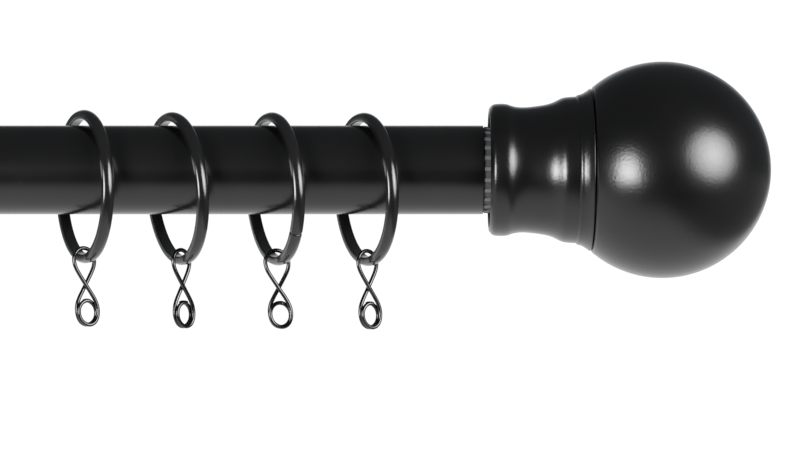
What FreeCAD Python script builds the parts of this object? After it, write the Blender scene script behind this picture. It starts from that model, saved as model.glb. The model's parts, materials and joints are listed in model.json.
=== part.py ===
import FreeCAD, Part
import math
import os
import Sketcher
from FreeCAD import Vector, Placement, Rotation

# Telescopic curtain pole with ball finials, rings, wire eyelets and two wall brackets.
# Millimetres. X runs along the pole, +Z is up, the wall is the plane y = 0 and the room is at -Y.
# The origin lies on the wall, midway between the brackets, at the height of the pole's axis.

doc = FreeCAD.newDocument("curtain_pole")

SIZES = [
    # pole
    ("outer_od", 28.0), ("outer_wall", 0.65), ("outer_len", 700.0),
    ("inner_od", 25.0), ("inner_wall", 0.65), ("inner_len", 640.0), ("inner_out", 16.0),
    ("bush_flange", 1.5), ("bush_len", 15.0), ("guide_len", 15.0), ("guide_od", 26.6),
    ("run_gap", 0.05), ("pole_off_wall", 85.0),
    # finial, measured along its axis from the collar's rear face
    ("ball_rad", 34.1), ("ball_centre", 54.55), ("ball_shell", 2.5), ("ball_base", 32.35),
    ("locator_rad", 21.8), ("locator_face", 29.5), ("boss_rad", 6.0), ("boss_end", 50.0),
    ("collar_len", 32.0), ("collar_rim_rad", 25.55), ("collar_bead_rad", 20.83),
    ("collar_recess_rad", 18.2), ("collar_web_rear", 4.0), ("collar_web_front", 8.0),
    ("screw_rad", 2.5), ("screw_hole_rad", 2.6), ("screw_end", 45.0),
    ("screw_head_rad", 4.6), ("screw_head_len", 3.2),
    ("spigot_rad", 11.8), ("spigot_end", 31.9), ("spigot_flange_rad", 17.0),
    ("spigot_floor", 10.0), ("spigot_bore_rad", 7.0),
    ("sleeve_core_rad", 13.0), ("sleeve_rib_rad", 13.3), ("sleeve_step_rad", 13.2),
    ("sleeve_step_rib_rad", 13.6), ("sleeve_step_from", 1.6), ("sleeve_ribs", 24),
    ("right_gap", 1.9), ("left_overlap", 1.0),
    # rings
    ("ring_in_rad", 21.4), ("ring_out_rad", 24.2), ("ring_width", 3.6), ("ring_crown", 2.5),
    ("ring_edge", 0.55),
    # eyelets
    ("wire_dia", 1.27),
    # brackets
    ("bracket_x", 170.0), ("plate_w", 24.0), ("plate_hgt", 76.0), ("plate_thk", 3.0),
    ("plate_hole_rad", 2.6), ("plate_hole_z", 27.0), ("arm_rad", 6.0), ("arm_foot_rad", 9.0),
    ("arm_foot_len", 4.0), ("cradle_in_rad", 14.3), ("cradle_thk", 2.5), ("cradle_w", 22.0),
    ("cradle_leg", 10.0), ("cradle_boss_rad", 5.0), ("cradle_boss_len", 2.5),
    ("csk_rad", 4.8), ("csk_screw_rad", 2.5), ("thumb_rad", 2.45), ("knob_rad", 7.0),
    ("knob_len", 9.0), ("knob_gap", 1.2),
]
S = dict(SIZES)
sheet = doc.addObject("Spreadsheet::Sheet", "sizes")
for i, (key, val) in enumerate(SIZES):
    sheet.set("A%d" % (i + 1), key)
    sheet.set("B%d" % (i + 1), "%g" % val)
    sheet.setAlias("B%d" % (i + 1), key)
doc.recompute()

PARTS = []


def q(c=0.0, **terms):
    """A length as a number and as the expression that gives it from the sheet."""
    val = c + sum(S[k] * f for k, f in terms.items())
    bits = ["sizes.%s * (%.8g)" % (k, f) for k, f in terms.items()]
    if c or not bits:
        bits.append("(%.8g)" % c)
    return (val, " + ".join(bits))


def num(v):
    return v[0] if isinstance(v, tuple) else v


def new_body(label, place=None):
    body = doc.addObject("PartDesign::Body", label)
    body.Label = label
    body.Placement = place or Placement()
    PARTS.append(body)
    return body


def origin_item(body, role):
    return [f for f in body.Origin.OriginFeatures if f.Role == role][0]


def profile(body, name, plane, segs):
    """Closed sketch from a list of (x, y, kind): 'L' straight to the next corner,
    ('A', mx, my) an arc through a middle point, ('S', points) a spline through points."""
    sk = body.newObject("Sketcher::SketchObject", name)
    sk.AttachmentSupport = [(origin_item(body, plane), "")]
    sk.MapMode = "FlatFace"
    n = len(segs)
    ends = []
    for i in range(n):
        x0, y0, kind = segs[i]
        x1, y1 = segs[(i + 1) % n][:2]
        a, b = Vector(num(x0), num(y0), 0), Vector(num(x1), num(y1), 0)
        if kind == "L":
            geo = Part.LineSegment(a, b)
        elif kind[0] == "A":
            geo = Part.Arc(a, Vector(kind[1], kind[2], 0), b)
        else:
            geo = Part.BSplineCurve()
            geo.interpolate([a] + [Vector(px, py, 0) for px, py in kind[1]] + [b])
        gi = sk.addGeometry(geo, False)
        p1 = sk.getPoint(gi, 1)
        ends.append((gi, 1, 2) if (p1 - a).Length < (p1 - b).Length else (gi, 2, 1))
    for i in range(n):
        j = (i + 1) % n
        sk.addConstraint(Sketcher.Constraint("Coincident", ends[i][0], ends[i][2], ends[j][0], ends[j][1]))
    for i in range(n):
        gi, pos = ends[i][0], ends[i][1]
        for axis, v in (("X", segs[i][0]), ("Y", segs[i][1])):
            if abs(num(v)) < 1e-9:
                sk.addConstraint(Sketcher.Constraint("PointOnObject", gi, pos, -2 if axis == "X" else -1))
                continue
            k = sk.addConstraint(Sketcher.Constraint("Distance" + axis, -1, 1, gi, pos, num(v)))
            if isinstance(v, tuple):
                sk.setExpression("Constraints[%d]" % k, v[1])
    return sk


def circle(body, name, plane, x, y, rad):
    sk = body.newObject("Sketcher::SketchObject", name)
    sk.AttachmentSupport = [(origin_item(body, plane), "")]
    sk.MapMode = "FlatFace"
    gi = sk.addGeometry(Part.Circle(Vector(num(x), num(y), 0), Vector(0, 0, 1), num(rad)), False)
    for axis, v in (("X", x), ("Y", y)):
        if abs(num(v)) < 1e-9:
            sk.addConstraint(Sketcher.Constraint("PointOnObject", gi, 3, -2 if axis == "X" else -1))
            continue
        k = sk.addConstraint(Sketcher.Constraint("Distance" + axis, -1, 1, gi, 3, num(v)))
        if isinstance(v, tuple):
            sk.setExpression("Constraints[%d]" % k, v[1])
    k = sk.addConstraint(Sketcher.Constraint("Radius", gi, num(rad)))
    if isinstance(rad, tuple):
        sk.setExpression("Constraints[%d]" % k, rad[1])
    return sk


def revolve(body, name, segs, cut=False):
    sk = profile(body, name + "_profile", "XZ_Plane", segs)
    feat = body.newObject("PartDesign::Groove" if cut else "PartDesign::Revolution", name)
    feat.Profile = sk
    feat.ReferenceAxis = (sk, ["H_Axis"])
    feat.Angle = 360.0
    return feat


def extrude(body, kind, name, sk, length, both=False, flip=False):
    feat = body.newObject("PartDesign::" + kind, name)
    feat.Profile = sk
    feat.Length = num(length)
    if isinstance(length, tuple):
        feat.setExpression("Length", length[1])
    if both:
        feat.Midplane = True
    feat.Reversed = flip
    return feat


def edges_where(feat, test):
    return ["Edge%d" % (i + 1) for i, e in enumerate(feat.Shape.Edges) if test(e)]


def fillet(body, name, base, names, rad):
    feat = body.newObject("PartDesign::Fillet", name)
    feat.Base = (base, names)
    feat.Radius = num(rad)
    if isinstance(rad, tuple):
        feat.setExpression("Radius", rad[1])
    return feat


def around(body, name, feats, axis, count):
    pat = body.newObject("PartDesign::PolarPattern", name)
    pat.Originals = feats
    pat.Axis = (origin_item(body, axis), [""])
    pat.Angle = 360.0
    pat.Occurrences = int(S[count])
    pat.setExpression("Occurrences", "sizes." + count)
    body.Tip = pat
    return pat


AXIS = Vector(0, -S["pole_off_wall"], 0)


def on_pole(x, turn=0.0):
    return Placement(Vector(x, AXIS.y, 0), Rotation(Vector(0, 0, 1), turn))


# ---- the two tubes and their plastic guides -------------------------------------------------

def tube(label, length, od, wall, place, end_round):
    body = new_body(label, place)
    ro = q(**{od: 0.5})
    ri = q(**{od: 0.5, wall: -1.0})
    z, e = q(), q(**{length: 1.0})
    rev = revolve(body, label + "_wall", [(z, ri, "L"), (e, ri, "L"), (e, ro, "L"), (z, ro, "L")])
    doc.recompute()
    rims = edges_where(rev, lambda c: hasattr(c.Curve, "Radius") and abs(c.Curve.Radius - num(ro)) < 1e-4
                       and c.isClosed())
    fillet(body, label + "_ends", rev, rims, end_round)
    return body


half = S["outer_len"] / 2.0
tube("outer_tube", "outer_len", "outer_od", "outer_wall", on_pole(-half), 0.3)
inner_left = -half - S["inner_out"]
tube("inner_tube", "inner_len", "inner_od", "inner_wall", on_pole(inner_left), 0.3)

# Flanged ring in the outer tube's left mouth, which the inner tube slides through.
bush = new_body("glide_bush", on_pole(-half))
b_in = q(inner_od=0.5, run_gap=1.0)
b_fit = q(outer_od=0.5, outer_wall=-1.0)
b_out = q(outer_od=0.5)
b_a, b_b, b_c = q(bush_flange=-1.0), q(), q(bush_len=1.0)
revolve(bush, "glide_bush_ring", [(b_a, b_in, "L"), (b_c, b_in, "L"), (b_c, b_fit, "L"), (b_b, b_fit, "L"),
                                  (b_b, b_out, "L"), (b_a, b_out, "L")])

# Ring on the inner tube's hidden end, which keeps it centred in the outer tube.
guide = new_body("rear_guide", on_pole(inner_left + S["inner_len"] - S["guide_len"]))
g_i, g_o = q(inner_od=0.5), q(guide_od=0.5)
revolve(guide, "rear_guide_ring", [(q(), g_i, "L"), (q(guide_len=1.0), g_i, "L"),
                                   (q(guide_len=1.0), g_o, "L"), (q(), g_o, "L")])


# ---- finials ----------------------------------------------------------------------------------

def ball(label, place):
    body = new_body(label, place)
    R, c, t = S["ball_rad"], S["ball_centre"], S["ball_shell"]
    zb, inner_base = S["ball_base"], 35.0
    edge = math.sqrt(R * R - (c - zb) ** 2)
    ri = R - t
    inner_edge = math.sqrt(ri * ri - (c - inner_base) ** 2)
    a = math.radians(60.0)
    mid_o = (c + R * math.cos(a), R * math.sin(a))
    mid_i = (c + ri * math.cos(a), ri * math.sin(a))
    hole = q(screw_rad=1.0)
    boss = q(boss_rad=1.0)
    rev = revolve(body, label + "_shell", [
        (q(locator_face=1.0), hole, "L"),
        (q(locator_face=1.0), q(locator_rad=1.0), "L"),
        (q(ball_base=1.0), q(locator_rad=1.0), "L"),
        (q(ball_base=1.0), edge, ("A", mid_o[0], mid_o[1])),
        (q(ball_centre=1.0, ball_rad=1.0), 0.0, "L"),
        (q(ball_centre=1.0, ball_rad=1.0, ball_shell=-1.0), 0.0, ("A", mid_i[0], mid_i[1])),
        (inner_base, inner_edge, "L"),
        (inner_base, boss, "L"),
        (q(boss_end=1.0), boss, "L"),
        (q(boss_end=1.0), hole, "L"),
    ])
    return body


def collar(label, place):
    body = new_body(label, place)
    L = S["collar_len"]
    rear = [(1.2, 20.52), (2.4, 20.78), (4.2, S["collar_bead_rad"]), (5.75, 20.66), (7.25, 20.16),
            (8.75, 19.85), (10.4, 19.73), (12.6, 19.83), (15.4, 20.16), (18.3, 20.68),
            (20.4, 21.39), (22.1, 22.24), (23.1, 22.65), (24.3, 22.88)]
    hole = q(screw_hole_rad=1.0)
    revolve(body, label + "_bell", [
        (0.0, 19.25, ("S", rear)),
        (26.9, 23.08, "L"),
        (27.30, 23.08, ("S", [(27.60, 23.40), (28.6, 23.74), (29.6, 24.17), (30.4, 24.63), (31.1, 25.14)])),
        (31.65, q(collar_rim_rad=1.0), ("A", 31.92, 25.45)),
        (q(collar_len=1.0), 25.2, "L"),
        (q(collar_len=1.0), q(0.2, locator_rad=1.0), "L"),
        (q(locator_face=1.0), q(0.2, locator_rad=1.0), "L"),
        (q(locator_face=1.0), 20.0, "L"),
        (22.0, 17.0, "L"),
        (q(collar_web_front=1.0), 17.0, "L"),
        (q(collar_web_front=1.0), hole, "L"),
        (q(collar_web_rear=1.0), hole, "L"),
        (q(collar_web_rear=1.0), q(collar_recess_rad=1.0), "L"),
        (0.0, q(collar_recess_rad=1.0), "L"),
    ])
    return body


def spigot(label, place):
    body = new_body(label, place)
    shank, fl = q(spigot_rad=1.0), q(spigot_flange_rad=1.0)
    hole, cb = q(screw_hole_rad=1.0), q(spigot_bore_rad=1.0)
    tip, floor = q(spigot_end=-1.0), q(spigot_floor=-1.0)
    f0, f1 = q(-2.0, collar_web_rear=1.0), q(collar_web_rear=1.0)
    revolve(body, label + "_plug", [
        (tip, cb, "L"), (tip, q(-0.6, spigot_rad=1.0), "L"), (q(0.6, spigot_end=-1.0), shank, "L"),
        (f0, shank, "L"), (f0, fl, "L"), (f1, fl, "L"), (f1, hole, "L"), (floor, hole, "L"), (floor, cb, "L")])
    return body


def finial_screw(label, place):
    body = new_body(label, place)
    floor = q(spigot_floor=-1.0)
    head = q(spigot_floor=-1.0, screw_head_len=-1.0)
    hr, sr = q(screw_head_rad=1.0), q(screw_rad=1.0)
    revolve(body, label + "_shank", [
        (head, 0.0, "L"), (head, q(-0.8, screw_head_rad=1.0), "L"), (q(0.8, spigot_floor=-1.0, screw_head_len=-1.0), hr, "L"),
        (floor, hr, "L"), (floor, sr, "L"), (q(-0.6, screw_end=1.0), sr, "L"),
        (q(screw_end=1.0), q(-0.6, screw_rad=1.0), "L"), (q(screw_end=1.0), 0.0, "L")])
    return body


right_face = half + S["right_gap"]
left_face = inner_left + S["left_overlap"]
ball("finial_ball_right", on_pole(right_face))
collar("finial_collar_right", on_pole(right_face))
spigot("finial_spigot_right", on_pole(right_face))
finial_screw("finial_screw_right", on_pole(right_face))
ball("finial_ball_left", on_pole(left_face, 180.0))
collar("finial_collar_left", on_pole(left_face, 180.0))
spigot("finial_spigot_left", on_pole(left_face, 180.0))
finial_screw("finial_screw_left", on_pole(left_face, 180.0))

# Ribbed sleeve that packs the right spigot out to the wider tube's bore.
sleeve = new_body("adaptor_sleeve", on_pole(right_face))
s_in, s_core, s_step = q(spigot_rad=1.0), q(sleeve_core_rad=1.0), q(sleeve_step_rad=1.0)
s_tip, s_st, s_end = q(spigot_end=-1.0), q(sleeve_step_from=-1.0), q(-2.0, collar_web_rear=1.0)
revolve(sleeve, "adaptor_core", [(s_tip, s_in, "L"), (s_end, s_in, "L"), (s_end, s_step, "L"),
                                 (s_st, s_step, "L"), (s_st, s_core, "L"), (s_tip, s_core, "L")])


def rib(name, x0, x1, r0, r1, wide):
    sk = profile(sleeve, name + "_outline", "XZ_Plane", [(x0, r0, "L"), (x1, r0, "L"), (x1, r1, "L"), (x0, r1, "L")])
    return extrude(sleeve, "Pad", name, sk, wide, both=True)


rib_a = rib("adaptor_rib", s_tip, s_st, q(-0.3, sleeve_core_rad=1.0), q(-0.02, sleeve_rib_rad=1.0), 1.2)
around(sleeve, "adaptor_ribs", [rib_a], "X_Axis", "sleeve_ribs")
rib_b = rib("adaptor_step_rib", s_st, s_end, q(-0.3, sleeve_step_rad=1.0), q(sleeve_step_rib_rad=1.0), 1.2)
around(sleeve, "adaptor_step_ribs", [rib_b], "X_Axis", "sleeve_ribs")

# ---- rings and wire eyelets ---------------------------------------------------------------------

# x of the centre, drop of the centre below the pole's axis, turn about Z, lean about Y (degrees)
RINGS = [(half - 125.7, 5.25, 25.0, 1.0), (half - 96.6, 5.9, 24.8, 5.3),
         (half - 65.7, 6.0, 21.5, 3.4), (half - 37.0, 6.15, 22.0, 2.6)]


def ring(label, spec):
    x, drop, turn, lean = spec
    rot = Rotation(Vector(0, 1, 0), -lean).multiply(Rotation(Vector(0, 0, 1), turn))
    body = new_body(label, Placement(Vector(x, AXIS.y, -drop), rot))
    w, ro, c = S["ring_width"] / 2.0, S["ring_out_rad"], S["ring_crown"]
    side = ro - (c - math.sqrt(c * c - w * w))
    wx, wm = q(ring_width=0.5), q(ring_width=-0.5)
    ri = q(ring_in_rad=1.0)
    rev = revolve(body, label + "_bar", [(wm, ri, "L"), (wx, ri, "L"), (wx, side, ("A", 0.0, ro)), (wm, side, "L")])
    doc.recompute()
    rims = edges_where(rev, lambda e: e.isClosed() and hasattr(e.Curve, "Radius"))
    fillet(body, label + "_edges", rev, rims, q(ring_edge=1.0))
    return body


def hang_frame(spec):
    """Middle of the ring's section at its lowest point, and the level direction along the ring there."""
    x, drop, turn, lean = spec
    rot = Rotation(Vector(0, 1, 0), -lean).multiply(Rotation(Vector(0, 0, 1), turn))
    n = rot.multVec(Vector(1, 0, 0))
    down = Vector(0, 0, -1)
    low = down - n * down.dot(n)
    low.normalize()
    tang = n.cross(low)
    tang.normalize()
    if tang.y > 0:
        tang = tang * -1.0
    mid = (S["ring_in_rad"] + S["ring_out_rad"]) / 2.0
    return Vector(x, AXIS.y, -drop) + low * mid, tang


# how far each eyelet is turned about the vertical from square to its ring's bar (degrees)
TURNS = [7.0, 20.0, -12.0, 12.0]
# the wire bears on the bar this far along the loop from the bar's middle
BEAR = 0.3

# Half of the bent wire, from the top of the upper loop down the left limb, across the front and
# round the lower loop to its cut end: (along the loop, up, towards the room). The other half is
# the same, turned half round the vertical.
HALF_WIRE = [(-1.45, 3.10, 0.12), (-2.75, 2.15, 0.28), (-3.55, 0.75, 0.42), (-3.72, -0.85, 0.52), (-3.36, -2.60, 0.60),
             (-2.50, -4.40, 0.65), (-1.30, -6.45, 0.66), (0.0, -8.60, 0.67), (1.20, -10.55, 0.67), (2.25, -12.35, 0.67),
             (3.02, -14.20, 0.67), (3.32, -16.20, 0.67), (3.02, -18.35, 0.67), (1.98, -20.05, 0.67), (0.25, -20.75, 0.67),
             (-1.60, -20.20, 0.67), (-2.88, -18.70, 0.67), (-3.28, -16.75, 0.67), (-2.85, -14.95, 0.67),
             (-1.75, -13.70, 0.67), (-0.35, -13.15, 0.67), (0.85, -13.35, 0.67)]


def smooth(points):
    cv = Part.BSplineCurve()
    cv.interpolate(points)
    return cv


def eyelet(label, spec, turn):
    pivot, tang = hang_frame(spec)
    side = Vector(0, 0, 1).cross(tang)
    side.normalize()
    if side.x < 0:
        side = side * -1.0
    pivot = pivot + side * BEAR
    spin = Rotation(Vector(0, 0, 1), turn)
    along, out = spin.multVec(side), spin.multVec(tang)
    left = [Vector(u, z, w) for u, z, w in HALF_WIRE]
    right = [Vector(-u, z, -w) for u, z, w in HALF_WIRE]
    pts = list(reversed(left)) + [Vector(0, 3.42, 0)] + right
    shear, mean = 0.07, -11.0
    pts = [Vector(p.x - shear * (p.y - mean), p.y, p.z) for p in pts]
    cv = smooth(pts)
    # hang the wire so that its weight is straight below the pivot
    n = 600
    p0, p1 = cv.FirstParameter, cv.LastParameter
    run = [cv.value(p0 + (p1 - p0) * i / n) for i in range(n + 1)]
    tot, mx, my, mz = 0.0, 0.0, 0.0, 0.0
    for a, b in zip(run, run[1:]):
        ln = (b - a).Length
        tot += ln
        mx += ln * (a.x + b.x) / 2.0
        my += ln * (a.y + b.y) / 2.0
        mz += ln * (a.z + b.z) / 2.0
    mx, my, mz = mx / tot, my / tot, mz / tot
    ang = math.atan2(mx, -my)
    ca, sa = math.cos(-ang), math.sin(-ang)
    pts = [Vector(ca * p.x - sa * p.y, sa * p.x + ca * p.y, p.z - mz) for p in pts]
    path = smooth([along * p.x + Vector(0, 0, 1) * p.y + out * p.z for p in pts])
    spine = Part.Wire([path.toShape()])
    start = path.value(path.FirstParameter)
    way = path.tangent(path.FirstParameter)[0]
    ring_wire = Part.Wire([Part.makeCircle(S["wire_dia"] / 2.0, start, way)])
    solid = spine.makePipeShell([ring_wire], True, True, 2)
    obj = doc.addObject("Part::Feature", label)
    obj.Label = label
    obj.Shape = solid
    obj.Placement = Placement(pivot, Rotation())
    PARTS.append(obj)
    return obj, pivot, tang, along, out


for i, spec in enumerate(RINGS):
    ring("ring_%d" % (i + 1), spec)
for i, spec in enumerate(RINGS):
    obj, pivot, tang, along, out = eyelet("eyelet_%d" % (i + 1), spec, TURNS[i])
    eye = pivot + along * 0.42 + Vector(0, 0, -17.0)
    print("eyelet_%d pivot %.4f %.4f %.4f axis %.5f %.5f %.5f" % ((i + 1,) + tuple(pivot) + tuple(tang)))
    print("eyelet_%d eye %.4f %.4f %.4f axis %.5f %.5f %.5f" % ((i + 1,) + tuple(eye) + tuple(out)))


# ---- wall brackets --------------------------------------------------------------------------------

def wall_plate(label, x):
    body = new_body(label, Placement(Vector(x, 0, 0), Rotation()))
    w = q(plate_w=0.5)
    hz = q(plate_hgt=0.5, plate_w=-0.5)
    hzm = q(plate_hgt=-0.5, plate_w=0.5)
    wm = q(plate_w=-0.5)
    top = S["plate_hgt"] / 2.0
    sk = profile(body, label + "_outline", "XZ_Plane", [
        (w, hzm, "L"), (w, hz, ("A", 0.0, top)), (wm, hz, "L"), (wm, hzm, ("A", 0.0, -top))])
    pad = extrude(body, "Pad", label + "_pad", sk, q(plate_thk=1.0))
    doc.recompute()
    y_front = pad.Shape.BoundBox.YMin
    rims = edges_where(pad, lambda e: abs(e.BoundBox.YMin - y_front) < 1e-4 and abs(e.BoundBox.YMax - y_front) < 1e-4)
    fillet(body, label + "_round", pad, rims, 1.0)
    for k, zz in (("top", q(plate_hole_z=1.0)), ("low", q(plate_hole_z=-1.0))):
        c = circle(body, "%s_%s_hole_outline" % (label, k), "XZ_Plane", 0.0, zz, q(plate_hole_rad=1.0))
        extrude(body, "Pocket", "%s_%s_hole" % (label, k), c, 40.0, both=True)
    # countersunk hole for the arm's screw, its wide end at the wall
    skc = profile(body, label + "_sink_outline", "YZ_Plane", [
        (0.0, 0.0, "L"), (0.0, q(csk_rad=1.0), "L"), (q(csk_rad=-1.0, csk_screw_rad=1.0), q(csk_screw_rad=1.0), "L"),
        (q(-1.0, plate_thk=-1.0), q(csk_screw_rad=1.0), "L"), (q(-1.0, plate_thk=-1.0), 0.0, "L")])
    g = body.newObject("PartDesign::Groove", label + "_sink")
    g.Profile = skc
    g.ReferenceAxis = (skc, ["H_Axis"])
    g.Angle = 360.0
    return body


def arm(label, x):
    # own X axis runs out from the wall
    body = new_body(label, Placement(Vector(x, 0, 0), Rotation(Vector(0, 0, 1), -90.0)))
    a0 = q(plate_thk=1.0)
    a1 = q(plate_thk=1.0, arm_foot_len=1.0)
    a2 = q(pole_off_wall=1.0, cradle_in_rad=-1.0, cradle_thk=-1.0)
    ar, fr, tr = q(arm_rad=1.0), q(arm_foot_rad=1.0), q(csk_screw_rad=1.0)
    revolve(body, label + "_bar", [
        (a0, 0.0, "L"), (a0, fr, "L"), (q(-1.2, plate_thk=1.0, arm_foot_len=1.0), fr, "L"),
        (a1, q(-1.2, arm_foot_rad=1.0), "L"), (a1, ar, "L"),
        (q(-0.5, pole_off_wall=1.0, cradle_in_rad=-1.0, cradle_thk=-1.0), ar, "L"),
        (a2, q(-0.5, arm_rad=1.0), "L"), (a2, 0.0, "L")])
    for k, e, d in (("wall", a0, 14.0), ("pole", a2, -13.0)):
        far = (e[0] + d, e[1] + " + (%g)" % d)
        revolve(body, "%s_%s_tapping" % (label, k), [(e, 0.0, "L"), (e, tr, "L"), (far, tr, "L"), (far, 0.0, "L")], cut=True)
    return body


def csk_screw(label, place, length):
    # own X axis runs from the flat of the head towards the tip
    body = new_body(label, place)
    hr, sr = q(csk_rad=1.0), q(csk_screw_rad=1.0)
    neck = q(csk_rad=1.0, csk_screw_rad=-1.0)
    revolve(body, label + "_turned", [
        (0.0, 0.0, "L"), (0.0, hr, "L"), (neck, sr, "L"), (length - 0.5, sr, "L"),
        (length, q(-0.5, csk_screw_rad=1.0), "L"), (length, 0.0, "L")])
    flat = 3.0
    r = flat / math.sqrt(3.0)
    hexa = [(r * math.cos(math.radians(60 * i + 30)), r * math.sin(math.radians(60 * i + 30)), "L") for i in range(6)]
    hexa = [(x if abs(x) > 1e-9 else 0.0, y, k) for x, y, k in hexa]
    sk = profile(body, label + "_socket_outline", "YZ_Plane", hexa)
    extrude(body, "Pocket", label + "_socket", sk, 3.2, both=True)
    return body


def cradle(label, x):
    body = new_body(label, Placement(Vector(x, AXIS.y, 0), Rotation()))
    ri, ro = q(cradle_in_rad=1.0), q(cradle_in_rad=1.0, cradle_thk=1.0)
    rim, rom = q(cradle_in_rad=-1.0), q(cradle_in_rad=-1.0, cradle_thk=-1.0)
    leg = q(cradle_leg=1.0)
    sk = profile(body, label + "_outline", "YZ_Plane", [
        (ri, leg, "L"), (ro, leg, "L"), (ro, 0.0, ("A", 0.0, -ro[0])), (rom, 0.0, "L"), (rom, leg, "L"),
        (rim, leg, "L"), (rim, 0.0, ("A", 0.0, -ri[0])), (ri, 0.0, "L")])
    pad = extrude(body, "Pad", label + "_strip", sk, q(cradle_w=1.0), both=True)
    doc.recompute()
    zt = pad.Shape.BoundBox.ZMax
    corners = edges_where(pad, lambda e: e.BoundBox.ZMin > zt - 1e-4 and e.BoundBox.XLength < 1e-4)
    xs = pad.Shape.BoundBox.XMax
    ups = edges_where(pad, lambda e: e.BoundBox.YLength > S["cradle_thk"] - 0.01 and e.BoundBox.YLength < S["cradle_thk"] + 0.01
                      and e.BoundBox.ZLength < 1e-4)
    fillet(body, label + "_corners", pad, ups, 4.0)
    boss_far = q(cradle_in_rad=-1.0, cradle_thk=-1.0, cradle_boss_len=-1.0)
    mid = q(-1.0, cradle_in_rad=-1.0)
    # boss on the front leg, about the line of the thumb screw
    def about_y(name, segs, kind):
        s = profile(body, name + "_outline", "XY_Plane", segs)
        f = body.newObject("PartDesign::" + kind, name)
        f.Profile = s
        f.ReferenceAxis = (s, ["V_Axis"])
        f.Angle = 360.0
        return f
    about_y(label + "_boss", [(0.0, mid, "L"), (q(cradle_boss_rad=1.0), mid, "L"),
                              (q(cradle_boss_rad=1.0), q(0.4, cradle_in_rad=-1.0, cradle_thk=-1.0, cradle_boss_len=-1.0), "L"),
                              (q(-0.4, cradle_boss_rad=1.0), boss_far, "L"), (0.0, boss_far, "L")], "Revolution")
    tap = q(thumb_rad=1.0, run_gap=1.0)
    about_y(label + "_tapping", [(0.0, q(-2.0, cradle_in_rad=-1.0, cradle_thk=-1.0, cradle_boss_len=-1.0), "L"),
                                 (tap, q(-2.0, cradle_in_rad=-1.0, cradle_thk=-1.0, cradle_boss_len=-1.0), "L"),
                                 (tap, q(1.0, cradle_in_rad=-1.0), "L"), (0.0, q(1.0, cradle_in_rad=-1.0), "L")], "Groove")
    about_y(label + "_sink", [(0.0, ri, "L"), (q(csk_rad=1.0), ri, "L"),
                              (q(csk_screw_rad=1.0), q(cradle_in_rad=1.0, csk_rad=1.0, csk_screw_rad=-1.0), "L"),
                              (q(csk_screw_rad=1.0), q(2.0, cradle_in_rad=1.0, cradle_thk=1.0), "L"),
                              (0.0, q(2.0, cradle_in_rad=1.0, cradle_thk=1.0), "L")], "Groove")
    return body


def thumb_screw(label, x):
    # own X axis points out into the room, from the pole's axis
    body = new_body(label, Placement(Vector(x, AXIS.y, 0), Rotation(Vector(0, 0, 1), -90.0)))
    tip = q(cradle_in_rad=1.0)
    sr = q(thumb_rad=1.0)
    k0 = q(cradle_in_rad=1.0, cradle_thk=1.0, cradle_boss_len=1.0, knob_gap=1.0)
    k1 = q(cradle_in_rad=1.0, cradle_thk=1.0, cradle_boss_len=1.0, knob_gap=1.0, knob_len=1.0)
    kr = q(knob_rad=1.0)
    revolve(body, label + "_turned", [
        (tip, 0.0, "L"), (tip, q(-0.5, thumb_rad=1.0), "L"), (q(0.5, cradle_in_rad=1.0), sr, "L"), (k0, sr, "L"),
        (k0, q(-0.8, knob_rad=1.0), "L"),
        ((k0[0] + 0.8, k0[1] + " + (0.8)"), kr, "L"), ((k1[0] - 0.8, k1[1] + " + (-0.8)"), kr, "L"),
        (k1, q(-0.8, knob_rad=1.0), "L"), (k1, 3.0, "L"), ((k1[0] - 0.6, k1[1] + " + (-0.6)"), 2.4, "L"),
        ((k1[0] - 0.6, k1[1] + " + (-0.6)"), 0.0, "L")])
    g0, g1 = (k0[0] - 1.0, k0[1] + " + (-1)"), (k1[0] + 1.0, k1[1] + " + (1)")
    sk = profile(body, label + "_flute_outline", "XZ_Plane", [
        (g0, q(-0.45, knob_rad=1.0), "L"), (g1, q(-0.45, knob_rad=1.0), "L"), (g1, q(1.0, knob_rad=1.0), "L"),
        (g0, q(1.0, knob_rad=1.0), "L")])
    fl = extrude(body, "Pocket", label + "_flute", sk, 0.9, both=True)
    around(body, label + "_flutes", [fl], "X_Axis", "sleeve_ribs")
    return body


def out_of_wall(x, y):
    return Placement(Vector(x, y, 0), Rotation(Vector(0, 0, 1), -90.0))


for side, x in (("right", S["bracket_x"]), ("left", -S["bracket_x"])):
    wall_plate("wall_plate_" + side, x)
    arm("arm_" + side, x)
    csk_screw("arm_screw_" + side, out_of_wall(x, 0.0), 14.0)
    cradle("cradle_" + side, x)
    csk_screw("cradle_screw_" + side,
              Placement(Vector(x, AXIS.y + S["cradle_in_rad"], 0), Rotation(Vector(0, 0, 1), 90.0)), 12.0)
    thumb_screw("thumb_screw_" + side, x)

doc.recompute()

bad = []
for obj in doc.Objects:
    if any(s in ("Invalid", "Error", "Touched") for s in obj.State):
        bad.append("%s %s" % (obj.Label, obj.State))
for part in PARTS:
    sh = part.Shape
    if sh.isNull() or not sh.isValid() or len(sh.Solids) != 1:
        bad.append("%s shape" % part.Label)
if bad:
    raise RuntimeError("not sound: " + "; ".join(bad))

os.makedirs("parts", exist_ok=True)
for part in PARTS:
    part.Shape.exportStep("parts/%s.step" % part.Label)
    bb = part.Shape.BoundBox
    print("%-22s vol %10.2f  x %8.2f %8.2f  y %8.2f %8.2f  z %7.2f %7.2f" % (
        part.Label, part.Shape.Volume, bb.XMin, bb.XMax, bb.YMin, bb.YMax, bb.ZMin, bb.ZMax))
print("parts:", len(PARTS))
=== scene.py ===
import bpy
import bmesh
import json
import math
from mathutils import Matrix, Vector


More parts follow.
